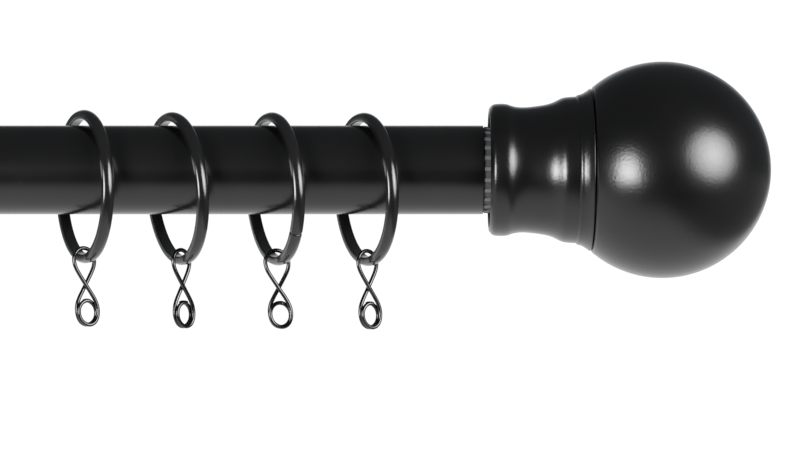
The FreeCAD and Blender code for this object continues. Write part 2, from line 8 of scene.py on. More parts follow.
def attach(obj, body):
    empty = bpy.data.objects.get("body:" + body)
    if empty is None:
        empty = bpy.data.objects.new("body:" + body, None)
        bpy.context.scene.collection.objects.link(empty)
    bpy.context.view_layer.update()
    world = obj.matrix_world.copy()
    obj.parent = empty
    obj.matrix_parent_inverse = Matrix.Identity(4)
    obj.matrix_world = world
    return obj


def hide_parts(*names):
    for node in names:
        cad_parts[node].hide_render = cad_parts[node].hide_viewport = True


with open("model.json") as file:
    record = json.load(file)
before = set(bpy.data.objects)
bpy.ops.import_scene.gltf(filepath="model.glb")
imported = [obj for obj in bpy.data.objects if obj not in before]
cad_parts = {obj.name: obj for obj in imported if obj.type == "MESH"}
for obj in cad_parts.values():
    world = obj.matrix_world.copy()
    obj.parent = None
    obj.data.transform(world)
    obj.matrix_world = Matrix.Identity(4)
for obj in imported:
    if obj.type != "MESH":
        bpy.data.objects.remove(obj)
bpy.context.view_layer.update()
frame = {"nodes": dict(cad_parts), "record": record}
nodes = frame["nodes"]
scene = bpy.context.scene
MM = 0.001
AXIS_Y = -85.0
TAU = 2.0 * math.pi

# ------------------------------------------------------------------ materials


def new_mat(name):
    m = bpy.data.materials.new(name)
    m.use_nodes = True
    nt = m.node_tree
    b = nt.nodes["Principled BSDF"]
    return m, nt, b


def coords(nt, scale=(1, 1, 1)):
    tc = nt.nodes.new("ShaderNodeTexCoord")
    mp = nt.nodes.new("ShaderNodeMapping")
    mp.inputs["Scale"].default_value = scale
    nt.links.new(tc.outputs["Object"], mp.inputs["Vector"])
    return mp.outputs["Vector"]


def noise(nt, vec, scale, detail=3.0, rough=0.5):
    n = nt.nodes.new("ShaderNodeTexNoise")
    n.inputs["Scale"].default_value = scale
    n.inputs["Detail"].default_value = detail
    n.inputs["Roughness"].default_value = rough
    nt.links.new(vec, n.inputs["Vector"])
    return n


def ramp(nt, fac, stops):
    r = nt.nodes.new("ShaderNodeValToRGB")
    els = r.color_ramp.elements
    els[0].position, els[0].color = stops[0][0], stops[0][1]
    els[1].position, els[1].color = stops[-1][0], stops[-1][1]
    for p, c in stops[1:-1]:
        e = els.new(p)
        e.color = c
    nt.links.new(fac, r.inputs["Fac"])
    return r


def grey(v, a=1.0):
    return (v, v, v, a)


def remap(nt, val, lo, hi, to_lo, to_hi):
    n = nt.nodes.new("ShaderNodeMapRange")
    n.inputs["From Min"].default_value = lo
    n.inputs["From Max"].default_value = hi
    n.inputs["To Min"].default_value = to_lo
    n.inputs["To Max"].default_value = to_hi
    nt.links.new(val, n.inputs["Value"])
    return n.outputs["Result"]


def bump(nt, b, height, strength, distance, chain=None):
    n = nt.nodes.new("ShaderNodeBump")
    n.inputs["Strength"].default_value = strength
    n.inputs["Distance"].default_value = distance
    nt.links.new(height, n.inputs["Height"])
    if chain is not None:
        nt.links.new(chain, n.inputs["Normal"])
    nt.links.new(n.outputs["Normal"], b.inputs["Normal"])
    return n.outputs["Normal"]


def black_coat(name, base, rough, spread, peel_mm, peel_depth, coat=0.0, coat_rough=0.1, dust=0.0):
    """Black sprayed finish: slow roughness drift, orange peel, and a few dust specks."""
    m, nt, b = new_mat(name)
    vec = coords(nt)
    slow = noise(nt, vec, 60.0, 3.0)
    fine = noise(nt, vec, 1000.0 / peel_mm, 2.0, 0.45)
    col = ramp(nt, slow.outputs["Fac"], [(0.3, (base * 0.90, base * 0.90, base * 0.92, 1)),
                                         (0.7, (base * 1.12, base * 1.12, base * 1.16, 1))])
    out = col.outputs["Color"]
    if dust > 0:
        speck = noise(nt, vec, 900.0, 1.0, 0.3)
        mask = ramp(nt, speck.outputs["Fac"], [(0.80, grey(0.0)), (0.86, grey(1.0))])
        mix = nt.nodes.new("ShaderNodeMix")
        mix.data_type = "RGBA"
        nt.links.new(mask.outputs["Color"], mix.inputs["Factor"])
        nt.links.new(out, mix.inputs["A"])
        mix.inputs["B"].default_value = (dust, dust, dust, 1)
        out = mix.outputs["Result"]
    nt.links.new(out, b.inputs["Base Color"])
    nt.links.new(remap(nt, slow.outputs["Fac"], 0.25, 0.75, rough - spread, rough + spread), b.inputs["Roughness"])
    b.inputs["IOR"].default_value = 1.5
    if coat:
        b.inputs["Coat Weight"].default_value = coat
        b.inputs["Coat Roughness"].default_value = coat_rough
    bump(nt, b, fine.outputs["Fac"], 1.0, peel_depth * MM)
    return m


MAT = {}
MAT["tube_black"] = black_coat("tube_black", 0.0036, 0.21, 0.015, 1.1, 0.006, dust=0.02)
MAT["finial_black"] = black_coat("finial_black", 0.0022, 0.25, 0.015, 0.75, 0.035, dust=0.02)
MAT["ring_black"] = black_coat("ring_black", 0.0060, 0.17, 0.015, 0.7, 0.003)
MAT["bracket_black"] = black_coat("bracket_black", 0.006, 0.30, 0.02, 0.8, 0.008)
MAT["black_screw"] = black_coat("black_screw", 0.012, 0.33, 0.03, 0.5, 0.002)


def plastic(name, base, rough, grain_mm, depth, crown=0.0):
    """Moulded plastic with a fine grain. Beyond the radius crown (mm, about the pole) the rib tops get a lighter base
    colour: a painted highlight.
    """
    m, nt, b = new_mat(name)
    vec = coords(nt)
    cloud = noise(nt, vec, 140.0, 4.0)
    grain = noise(nt, vec, 1000.0 / grain_mm, 3.0, 0.6)
    col = ramp(nt, cloud.outputs["Fac"], [(0.3, (base * 0.9, base * 0.92, base * 0.94, 1)), (0.7, (base * 1.1, base * 1.12, base * 1.15, 1))])
    out = col.outputs["Color"]
    # painted highlight: rib tops beyond the crown radius are coloured lighter, standing in for light off the ribs
    if crown:
        mp = nt.nodes.new("ShaderNodeMapping")
        mp.inputs["Location"].default_value = (0.0, -AXIS_Y * MM, 0.0)
        mp.inputs["Scale"].default_value = (0.0, 1.0, 1.0)
        nt.links.new(vec, mp.inputs["Vector"])
        far = nt.nodes.new("ShaderNodeVectorMath")
        far.operation = "LENGTH"
        nt.links.new(mp.outputs["Vector"], far.inputs[0])
        mix = nt.nodes.new("ShaderNodeMix")
        mix.data_type = "RGBA"
        nt.links.new(remap(nt, far.outputs["Value"], (crown - 0.07) * MM, (crown + 0.07) * MM, 0.0, 1.0), mix.inputs["Factor"])
        nt.links.new(out, mix.inputs["A"])
        mix.inputs["B"].default_value = (base * 2.3, base * 2.35, base * 2.4, 1)
        out = mix.outputs["Result"]
    nt.links.new(out, b.inputs["Base Color"])
    nt.links.new(remap(nt, grain.outputs["Fac"], 0.2, 0.8, rough - 0.04, rough + 0.05), b.inputs["Roughness"])
    bump(nt, b, grain.outputs["Fac"], 1.0, depth * MM)
    return m


MAT["plastic_grey"] = plastic("plastic_grey", 0.09, 0.42, 0.35, 0.006)
# the sleeve's rib tops carry a painted highlight
MAT["plastic_ribbed"] = plastic("plastic_ribbed", 0.058, 0.40, 0.35, 0.006, crown=13.4)
MAT["plastic_black"] = plastic("plastic_black", 0.018, 0.45, 0.30, 0.006)


def plated(name, base, rough, draw_mm, depth):
    """Plated wire or turned steel: fine drawn lines with a slightly uneven tone."""
    m, nt, b = new_mat(name)
    vec = coords(nt)
    tone = noise(nt, vec, 260.0, 4.0)
    lines = noise(nt, vec, 1000.0 / draw_mm, 4.0, 0.65)
    col = ramp(nt, tone.outputs["Fac"], [(0.3, (base * 0.86, base * 0.86, base * 0.88, 1)), (0.7, (base * 1.16, base * 1.16, base * 1.2, 1))])
    nt.links.new(col.outputs["Color"], b.inputs["Base Color"])
    b.inputs["Metallic"].default_value = 1.0
    nt.links.new(remap(nt, lines.outputs["Fac"], 0.2, 0.8, rough - 0.05, rough + 0.07), b.inputs["Roughness"])
    bump(nt, b, lines.outputs["Fac"], 0.7, depth * MM)
    return m


MAT["wire_gunmetal"] = plated("wire_gunmetal", 0.050, 0.16, 0.22, 0.003)
MAT["zinc_steel"] = plated("zinc_steel", 0.52, 0.30, 0.18, 0.003)

# ------------------------------------------------------------------ mesh makers


def cut_corners(pts, closed=True, seg=5):
    """pts of (x, y, radius): each corner with a radius becomes an arc."""
    out = []
    n = len(pts)
    for i, p in enumerate(pts):
        x, y = p[0], p[1]
        rad = p[2] if len(p) > 2 else 0.0
        if rad <= 0 or (not closed and i in (0, n - 1)):
            out.append((x, y))
            continue
        a, c = pts[(i - 1) % n], pts[(i + 1) % n]
        v1 = Vector((a[0] - x, a[1] - y))
        v2 = Vector((c[0] - x, c[1] - y))
        ang = v1.angle(v2)
        cut = min(rad / math.tan(ang / 2.0), v1.length * 0.49, v2.length * 0.49)
        real = cut * math.tan(ang / 2.0)
        u1, u2 = v1.normalized(), v2.normalized()
        mid = (u1 + u2).normalized()
        centre = Vector((x, y)) + mid * (real / math.sin(ang / 2.0))
        s, e = Vector((x, y)) + u1 * cut - centre, Vector((x, y)) + u2 * cut - centre
        a0 = math.atan2(s.y, s.x)
        d = math.atan2(e.y, e.x) - a0
        while d > math.pi:
            d -= TAU
        while d < -math.pi:
            d += TAU
        for k in range(seg + 1):
            t = a0 + d * k / seg
            out.append((centre.x + real * math.cos(t), centre.y + real * math.sin(t)))
    return out


def finish_mesh(name, bm, mat, place=None, sharp=32.0, weld=True):
    if weld:
        bmesh.ops.remove_doubles(bm, verts=bm.verts, dist=1e-5)
    bmesh.ops.recalc_face_normals(bm, faces=bm.faces)
    lim = math.radians(sharp)
    for f in bm.faces:
        f.smooth = True
    for e in bm.edges:
        if len(e.link_faces) == 2 and e.calc_face_angle(0.0) > lim:
            e.smooth = False
    m = bpy.data.meshes.new(name)
    bm.transform(Matrix.Scale(MM, 4) @ (place or Matrix.Identity(4)))
    bm.to_mesh(m)
    bm.free()
    m.materials.append(mat)
    o = bpy.data.objects.new(name, m)
    scene.collection.objects.link(o)
    return o


def lathe_bm(bm, prof, n=96, closed=True, radius=None):
    """Revolves (u, r) points about X. Points on the axis become one vertex. radius(u, r, angle) may change r."""
    rows = []
    for u, r in prof:
        if r < 1e-6:
            rows.append([bm.verts.new((u, 0, 0))])
        else:
            row = []
            for k in range(n):
                a = TAU * k / n
                rr = radius(u, r, a) if radius else r
                row.append(bm.verts.new((u, rr * math.cos(a), rr * math.sin(a))))
            rows.append(row)
    m = len(rows)
    for i in range(m if closed else m - 1):
        a, b = rows[i], rows[(i + 1) % m]
        if len(a) == 1 and len(b) == 1:
            continue
        for k in range(n):
            k2 = (k + 1) % n
            if len(a) == 1:
                bm.faces.new((a[0], b[k], b[k2]))
            elif len(b) == 1:
                bm.faces.new((a[k], a[k2], b[0]))
            else:
                bm.faces.new((a[k], a[k2], b[k2], b[k]))
    return rows


def lathe(name, prof, mat, place, n=96, closed=True, radius=None, sharp=32.0):
    bm = bmesh.new()
    lathe_bm(bm, prof, n, closed, radius)
    return finish_mesh(name, bm, mat, place, sharp)


def on_pole(x, turn=0.0):
    return Matrix.Translation((x, AXIS_Y, 0)) @ Matrix.Rotation(math.radians(turn), 4, "Z")


def put(obj, body, node):
    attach(obj, body)
    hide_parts(node)
    return obj


def spline(pts, per=14):
    """Natural cubic through the points, by chord length."""
    n = len(pts)
    dim = len(pts[0])
    t = [0.0]
    for a, b in zip(pts, pts[1:]):
        t.append(t[-1] + math.sqrt(sum((a[k] - b[k]) ** 2 for k in range(dim))))
    out_m = []
    for k in range(dim):
        y = [p[k] for p in pts]
        h = [t[i + 1] - t[i] for i in range(n - 1)]
        al = [0.0] * n
        for i in range(1, n - 1):
            al[i] = 3 * ((y[i + 1] - y[i]) / h[i] - (y[i] - y[i - 1]) / h[i - 1])
        l, mu, z = [1.0] * n, [0.0] * n, [0.0] * n
        for i in range(1, n - 1):
            l[i] = 2 * (t[i + 1] - t[i - 1]) - h[i - 1] * mu[i - 1]
            mu[i] = h[i] / l[i]
            z[i] = (al[i] - h[i - 1] * z[i - 1]) / l[i]
        c, b, d = [0.0] * n, [0.0] * n, [0.0] * n
        for j in range(n - 2, -1, -1):
            c[j] = z[j] - mu[j] * c[j + 1]
            b[j] = (y[j + 1] - y[j]) / h[j] - h[j] * (c[j + 1] + 2 * c[j]) / 3
            d[j] = (c[j + 1] - c[j]) / (3 * h[j])
        out_m.append((y, b, c, d))
    res = []
    for i in range(n - 1):
        for s in range(per):
            x = (t[i + 1] - t[i]) * s / per
            res.append(tuple(o[0][i] + o[1][i] * x + o[2][i] * x * x + o[3][i] * x ** 3 for o in out_m))
    res.append(tuple(pts[-1]))
    return res


# ------------------------------------------------------------------ tubes and guides

HALF, INNER_LEFT = 350.0, -366.0


def tube(name, body, x0, length, ro, wall):
    steps = 48
    ri = ro - wall
    prof = cut_corners([(0, ri, 0.12), (0, ro, 0.28)] + [(length * k / steps, ro) for k in range(1, steps)]
                       + [(length, ro, 0.28), (length, ri, 0.12)]
                       + [(length * k / steps, ri) for k in range(steps - 1, 0, -1)])
    return put(lathe(name + "_skin", prof, MAT["tube_black"], on_pole(x0), 160), body, name)


tube("outer_tube", "pole", -HALF, 700.0, 14.0, 0.65)
tube("inner_tube", "inner", INNER_LEFT, 640.0, 12.5, 0.65)
put(lathe("glide_bush_ring", cut_corners([(-1.5, 12.55, 0.3), (15, 12.55, 0.2), (15, 13.35, 0.2), (0, 13.35), (0, 14.0, 0.1), (-1.5, 14.0, 0.5)]),
          MAT["plastic_black"], on_pole(-HALF), 128), "pole", "glide_bush")
put(lathe("rear_guide_ring", cut_corners([(0, 12.5, 0.2), (15, 12.5, 0.2), (15, 13.3, 0.4), (0, 13.3, 0.4)]),
          MAT["plastic_black"], on_pole(INNER_LEFT + 625.0), 128), "inner", "rear_guide")

# ------------------------------------------------------------------ finials

BALL_R, BALL_C, BALL_BASE = 34.1, 54.55, 32.35


def ball_profile():
    pts = [(29.5, 2.5), (29.5, 21.8, 0.3), (BALL_BASE, 21.8)]
    edge = math.sqrt(BALL_R ** 2 - (BALL_C - BALL_BASE) ** 2)
    a0 = math.atan2(edge, BALL_BASE - BALL_C)
    start = [(BALL_BASE, edge - 0.30)]
    for k in range(1, 5):
        t = k / 5.0 * math.pi / 2
        start.append((BALL_BASE + 0.30 * (1 - math.cos(t)), edge - 0.30 + 0.33 * math.sin(t)))
    arc = []
    m = 110
    for k in range(m + 1):
        t = a0 - 0.012 - (a0 - 0.012) * k / m
        r = BALL_R * math.sin(t)
        arc.append((BALL_C + BALL_R * math.cos(t), r if k < m else 0.0))
    ri = BALL_R - 2.5
    ie = math.sqrt(ri ** 2 - (BALL_C - 35.0) ** 2)
    b0 = math.atan2(ie, 35.0 - BALL_C)
    inner = []
    for k in range(31):
        t = b0 * k / 30.0
        inner.append((BALL_C + ri * math.cos(t), ri * math.sin(t) if k else 0.0))
    return cut_corners(pts) + start + arc + inner + [(35.0, 6.0), (50.0, 6.0), (50.0, 2.5)]


COLLAR_REAR = [(0.0, 19.25), (1.2, 20.52), (2.4, 20.78), (4.2, 20.83), (5.75, 20.66), (7.25, 20.16), (8.75, 19.85),
               (10.4, 19.73), (12.6, 19.83), (15.4, 20.16), (18.3, 20.68), (20.4, 21.39), (22.1, 22.24),
               (23.1, 22.65), (24.3, 22.88), (26.9, 23.08)]
COLLAR_FRONT = [(27.30, 23.08), (27.60, 23.40), (28.6, 23.74), (29.6, 24.17), (30.4, 24.63), (31.1, 25.14), (31.65, 25.55)]


def collar_profile():
    rear = spline(COLLAR_REAR, 8)
    front = spline(COLLAR_FRONT, 7)
    rim = []
    for k in range(1, 7):
        t = k / 6.0 * math.pi / 2
        rim.append((31.65 + 0.35 * math.sin(t), 25.20 + 0.35 * math.cos(t)))
    inside = cut_corners([(32.0, 24.0), (32.0, 22.0, 0.2), (29.5, 22.0, 0.2), (29.5, 20.0), (22.0, 17.0, 1.5), (8.0, 17.0, 1.0),
                          (8.0, 2.6), (4.0, 2.6), (4.0, 18.2, 0.6), (0.0, 18.2, 0.35)], closed=False)
    return [(0.0, 18.2)] + [(0.0, 18.9)] + rear + front + rim + inside[:-1] + [(0.25, 18.2)]


SPIGOT = cut_corners([(-31.9, 7.0, 0.2), (-31.9, 11.8, 0.7), (2.0, 11.8), (2.0, 17.0, 0.3), (4.0, 17.0, 0.3), (4.0, 2.6), (-10.0, 2.6), (-10.0, 7.0, 0.3)])


def finial(side, body, place):
    put(lathe("ball_%s" % side, ball_profile(), MAT["finial_black"], place, 160), body, "finial_ball_" + side)
    put(lathe("collar_%s" % side, collar_profile(), MAT["finial_black"], place, 160, sharp=24.0), body, "finial_collar_" + side)
    put(lathe("spigot_%s" % side, SPIGOT, MAT["plastic_grey"], place, 96), body, "finial_spigot_" + side)
    prof = cut_corners([(-13.2, 0.0), (-13.2, 4.6, 0.9), (-10.0, 4.6, 0.2), (-10.0, 2.5), (44.4, 2.5), (45.0, 1.9), (45.0, 0.0)], closed=False)
    bm = bmesh.new()
    lathe_bm(bm, prof, 48, closed=False)
    put(finish_mesh("finial_bolt_" + side, bm, MAT["zinc_steel"], place), body, "finial_screw_" + side)


finial("right", "finial_right", on_pole(HALF + 1.9))
finial("left", "finial_left", on_pole(INNER_LEFT + 1.0, 180.0))

# ribbed adaptor sleeve under the right finial
RIBS, RIB_W = 24, 1.2


def ribbed(u, r, a):
    if r < 12.5:
        return r
    step = TAU / RIBS
    off = abs((a + step / 2.0) % step - step / 2.0) * r
    rise = 0.40 if r > 13.1 else 0.27
    if off < RIB_W / 2.0 - 0.1:
        return r + rise
    if off < RIB_W / 2.0 + 0.1:
        return r + rise * 0.5
    return r


sl = [(-31.9, 11.8), (-31.9, 12.7), (-31.6, 13.0), (-1.61, 13.0), (-1.6, 13.2), (2.0, 13.2), (2.0, 11.8)]
put(lathe("adaptor_ribs", sl, MAT["plastic_ribbed"], on_pole(HALF + 1.9), 24 * 14, radius=ribbed, sharp=20.0),
    "finial_right", "adaptor_sleeve")

# ------------------------------------------------------------------ rings

RINGS = [(HALF - 125.7, 5.25, 25.0, 1.0), (HALF - 96.6, 5.9, 24.8, 5.3), (HALF - 65.7, 6.0, 21.5, 3.4), (HALF - 37.0, 6.15, 22.0, 2.6)]
R_IN, R_OUT, R_W, R_CROWN = 21.4, 24.2, 3.6, 2.5


def ring_section():
    w = R_W / 2.0
    side = R_OUT - (R_CROWN - math.sqrt(R_CROWN ** 2 - w * w))
    a = math.asin(w / R_CROWN)
    crown = []
    for k in range(1, 20):
        t = a - 2 * a * k / 20.0
        crown.append((R_CROWN * math.sin(t), R_OUT - R_CROWN + R_CROWN * math.cos(t)))
    return cut_corners([(-w, R_IN, 0.55), (w, R_IN, 0.55), (w, side, 0.4)] + crown + [(-w, side, 0.4)], seg=8)


def turned(turn, lean):
    return Matrix.Rotation(math.radians(-lean), 4, "Y") @ Matrix.Rotation(math.radians(turn), 4, "Z")


def ring(i):
    x, drop, turn, lean = RINGS[i]
    place = Matrix.Translation((x, AXIS_Y, -drop)) @ turned(turn, lean)
    sec = ring_section()
    cx = sum(p[0] for p in sec) / len(sec)
    cr = (R_IN + R_OUT) / 2.0
    angles = [(TAU * k / 200, 1.0) for k in range(200)]
    if i == 2:  # the bar's two ends meet in a fine line on the room side
        seam = math.radians(180.0 + 38.5)
        angles = [(a, s) for a, s in angles if abs(a - seam) > 0.025]
        angles += [(seam + d / 24.0, s) for d, s in ((-0.45, 1.0), (-0.28, 0.985), (-0.16, 0.94), (-0.09, 0.86), (-0.05, 0.78), (0.05, 0.78), (0.09, 0.86), (0.16, 0.94), (0.28, 0.985), (0.45, 1.0))]
        angles.sort()
    bm = bmesh.new()
    rows = []
    for a, s in angles:
        row = []
        for u, r in sec:
            uu, rr = cx + (u - cx) * s, cr + (r - cr) * s
            row.append(bm.verts.new((uu, rr * math.cos(a), rr * math.sin(a))))
        rows.append(row)
    n, m = len(rows), len(sec)
    for k in range(n):
        a, b = rows[k], rows[(k + 1) % n]
        for j in range(m):
            bm.faces.new((a[j], a[(j + 1) % m], b[(j + 1) % m], b[j]))
    name = "ring_%d" % (i + 1)
    put(finish_mesh("hoop_%d" % (i + 1), bm, MAT["ring_black"], place, sharp=50.0), name, name)


for i in range(4):
    ring(i)

# ------------------------------------------------------------------ eyelets

TURNS, BEAR, SHEAR = [7.0, 20.0, -12.0, 12.0], 0.3, 0.07
HALF_WIRE = [(-1.45, 3.10, 0.12), (-2.75, 2.15, 0.28), (-3.55, 0.75, 0.42), (-3.72, -0.85, 0.52), (-3.36, -2.60, 0.60),
             (-2.50, -4.40, 0.65), (-1.30, -6.45, 0.66), (0.0, -8.60, 0.67), (1.20, -10.55, 0.67), (2.25, -12.35, 0.67),
             (3.02, -14.20, 0.67), (3.32, -16.20, 0.67), (3.02, -18.35, 0.67), (1.98, -20.05, 0.67), (0.25, -20.75, 0.67),
             (-1.60, -20.20, 0.67), (-2.88, -18.70, 0.67), (-3.28, -16.75, 0.67), (-2.85, -14.95, 0.67),
             (-1.75, -13.70, 0.67), (-0.35, -13.15, 0.67), (0.85, -13.35, 0.67)]


def wire_points():
    left = [(u, z, w) for u, z, w in HALF_WIRE]
    right = [(-u, z, -w) for u, z, w in HALF_WIRE]
    pts = list(reversed(left)) + [(0.0, 3.42, 0.0)] + right
    pts = [(p[0] - SHEAR * (p[1] + 11.0), p[1], p[2]) for p in pts]
    run = spline(pts, 14)
    tot = mx = my = mz = 0.0
    for a, b in zip(run, run[1:]):
        ln = math.dist(a, b)
        tot += ln
        mx += ln * (a[0] + b[0]) / 2
        my += ln * (a[1] + b[1]) / 2
        mz += ln * (a[2] + b[2]) / 2
    mx, my, mz = mx / tot, my / tot, mz / tot
    ang = math.atan2(mx, -my)
    ca, sa = math.cos(-ang), math.sin(-ang)
    return [(ca * p[0] - sa * p[1], sa * p[0] + ca * p[1], p[2] - mz) for p in run]


def sweep(name, path, rad, mat, n=20):
    """Round wire along a dense path, its cut ends slightly broken."""
    P = [Vector(p) for p in path]
    T = []
    for i in range(len(P)):
        a, b = P[max(i - 1, 0)], P[min(i + 1, len(P) - 1)]
        T.append((b - a).normalized())
    nrm = T[0].orthogonal().normalized()
    frames = []
    for i in range(len(P)):
        if i:
            nrm = (T[i - 1].rotation_difference(T[i])) @ nrm
            nrm = (nrm - T[i] * nrm.dot(T[i])).normalized()
        frames.append((nrm.copy(), T[i].cross(nrm).normalized()))
    bm = bmesh.new()
    rows = []

    def loop(c, f, r):
        return [bm.verts.new(c + f[0] * (r * math.cos(TAU * k / n)) + f[1] * (r * math.sin(TAU * k / n))) for k in range(n)]

    rows.append(loop(P[0], frames[0], rad - 0.12))
    rows.append(loop(P[0] + T[0] * 0.05, frames[0], rad - 0.03))
    rows.append(loop(P[0] + T[0] * 0.14, frames[0], rad))
    for i in range(1, len(P) - 1):
        if (P[i] - P[0]).length < 0.2 or (P[i] - P[-1]).length < 0.2:
            continue
        rows.append(loop(P[i], frames[i], rad))
    e = len(P) - 1
    rows.append(loop(P[e] - T[e] * 0.14, frames[e], rad))
    rows.append(loop(P[e] - T[e] * 0.05, frames[e], rad - 0.03))
    rows.append(loop(P[e], frames[e], rad - 0.12))
    for a, b in zip(rows, rows[1:]):
        for k in range(n):
            bm.faces.new((a[k], a[(k + 1) % n], b[(k + 1) % n], b[k]))
    bm.faces.new(rows[0])
    bm.faces.new(rows[-1])
    return finish_mesh(name, bm, mat, sharp=40.0)


WIRE = wire_points()
for i in range(4):
    x, drop, turn, lean = RINGS[i]
    rot = turned(turn, lean).to_3x3()
    nrm = rot @ Vector((1, 0, 0))
    low = Vector((0, 0, -1)) - nrm * (-nrm.z)
    low.normalize()
    tang = nrm.cross(low).normalized()
    if tang.y > 0:
        tang = -tang
    piv = Vector((x, AXIS_Y, -drop)) + low * ((R_IN + R_OUT) / 2.0)
    side = Vector((0, 0, 1)).cross(tang).normalized()
    if side.x < 0:
        side = -side
    piv = piv + side * BEAR
    spin = Matrix.Rotation(math.radians(TURNS[i]), 3, "Z")
    along, out = spin @ side, spin @ tang
    path = [piv + along * p[0] + Vector((0, 0, 1)) * p[1] + out * p[2] for p in WIRE]
    name = "eyelet_%d" % (i + 1)
    put(sweep("wire_%d" % (i + 1), path, 0.635, MAT["wire_gunmetal"]), name, name)

# ------------------------------------------------------------------ brackets


def boolean(obj, cutters):
    for c in cutters:
        mod = obj.modifiers.new("cut", "BOOLEAN")
        mod.operation = "DIFFERENCE"
        mod.solver = "EXACT"
        mod.object = c
    dg = bpy.context.evaluated_depsgraph_get()
    dg.update()
    m = bpy.data.meshes.new_from_object(obj.evaluated_get(dg))
    obj.modifiers.clear()
    old = obj.data
    obj.data = m
    bpy.data.meshes.remove(old)
    for c in cutters:
        bpy.data.objects.remove(c)
    bm = bmesh.new()
    bm.from_mesh(obj.data)
    for f in bm.faces:
        f.smooth = True
    for e in bm.edges:
        e.smooth = not (len(e.link_faces) == 2 and e.calc_face_angle(0.0) > math.radians(32))
    bm.to_mesh(obj.data)
    bm.free()
    w = obj.modifiers.new("weights", "WEIGHTED_NORMAL")
    w.keep_sharp = True
    return obj


def out_of_wall(x, y):
    return Matrix.Translation((x, y, 0)) @ Matrix.Rotation(math.radians(-90), 4, "Z")


def wall_plate(side, x):
    w, top, thk = 12.0, 38.0, 3.0
    levels = [(0.0, 0.15), (-0.15, 0.0), (-2.0, 0.0)]
    for k in range(1, 7):
        t = k / 6.0 * math.pi / 2
        levels.append((-2.0 - math.sin(t), 1.0 - math.cos(t)))
    bm = bmesh.new()
    rows = []
    seg = 40
    for y, inset in levels:
        r = w - inset
        row = []
        for k in range(seg + 1):
            a = math.pi * k / seg
            row.append(bm.verts.new((r * math.cos(a), y, (top - w) + r * math.sin(a))))
        for k in range(seg + 1):
            a = math.pi + math.pi * k / seg
            row.append(bm.verts.new((r * math.cos(a), y, -(top - w) + r * math.sin(a))))
        rows.append(row)
    n = len(rows[0])
    for a, b in zip(rows, rows[1:]):
        for k in range(n):
            bm.faces.new((a[k], a[(k + 1) % n], b[(k + 1) % n], b[k]))
    bm.faces.new(rows[0])
    bm.faces.new(rows[-1])
    place = Matrix.Translation((x, 0, 0))
    obj = finish_mesh("plate_" + side, bm, MAT["bracket_black"], place)
    cuts = []
    for z in (27.0, -27.0):
        prof = [(-0.5, 0.0), (-0.5, 3.5), (0.25, 2.6), (2.7, 2.6), (3.6, 3.65), (3.6, 0.0)]
        cuts.append(lathe("cut", prof, MAT["bracket_black"], Matrix.Translation((x, 0, z)) @ Matrix.Rotation(math.radians(-90), 4, "Z"), 48, closed=False))
    prof = [(-1.0, 0.0), (-1.0, 5.8), (2.3, 2.5), (4.0, 2.5), (4.0, 0.0)]
    cuts.append(lathe("cut", prof, MAT["bracket_black"], Matrix.Translation((x, 0, 0)) @ Matrix.Rotation(math.radians(-90), 4, "Z"), 48, closed=False))
    put(boolean(obj, cuts), "brackets", "wall_plate_" + side)


def arm(side, x):
    end = 85.0 - 16.8
    prof = cut_corners([(3.0, 2.5), (3.0, 9.0, 0.3), (7.0, 9.0, 1.3), (7.0, 6.0, 0.8), (end, 6.0, 0.45), (end, 2.5), (end - 13, 2.5), (end - 13, 0.0)], closed=False)
    prof = [(17.0, 0.0), (17.0, 2.5)] + prof
    put(lathe("bar_" + side, prof, MAT["bracket_black"], out_of_wall(x, 0.0), 72, closed=False), "brackets", "arm_" + side)


def hexagon_cutter(place, depth):
    bm = bmesh.new()
    r = 3.0 / math.sqrt(3.0)
    a = [bm.verts.new((-0.5, r * math.cos(math.radians(60 * k + 30)), r * math.sin(math.radians(60 * k + 30)))) for k in range(6)]
    b = [bm.verts.new((depth, v.co.y, v.co.z)) for v in a]
    for k in range(6):
        bm.faces.new((a[k], a[(k + 1) % 6], b[(k + 1) % 6], b[k]))
    bm.faces.new(a)
    bm.faces.new(b)
    return finish_mesh("cut", bm, MAT["zinc_steel"], place)


def csk(name, node, place, length, mat):
    prof = cut_corners([(0.0, 0.0), (0.0, 4.8, 0.12), (2.3, 2.5), (length - 0.5, 2.5), (length, 2.0), (length, 0.0)], closed=False)
    obj = lathe(name, prof, MAT[mat], place, 48, closed=False)
    put(boolean(obj, [hexagon_cutter(place, 1.6)]), "brackets", node)


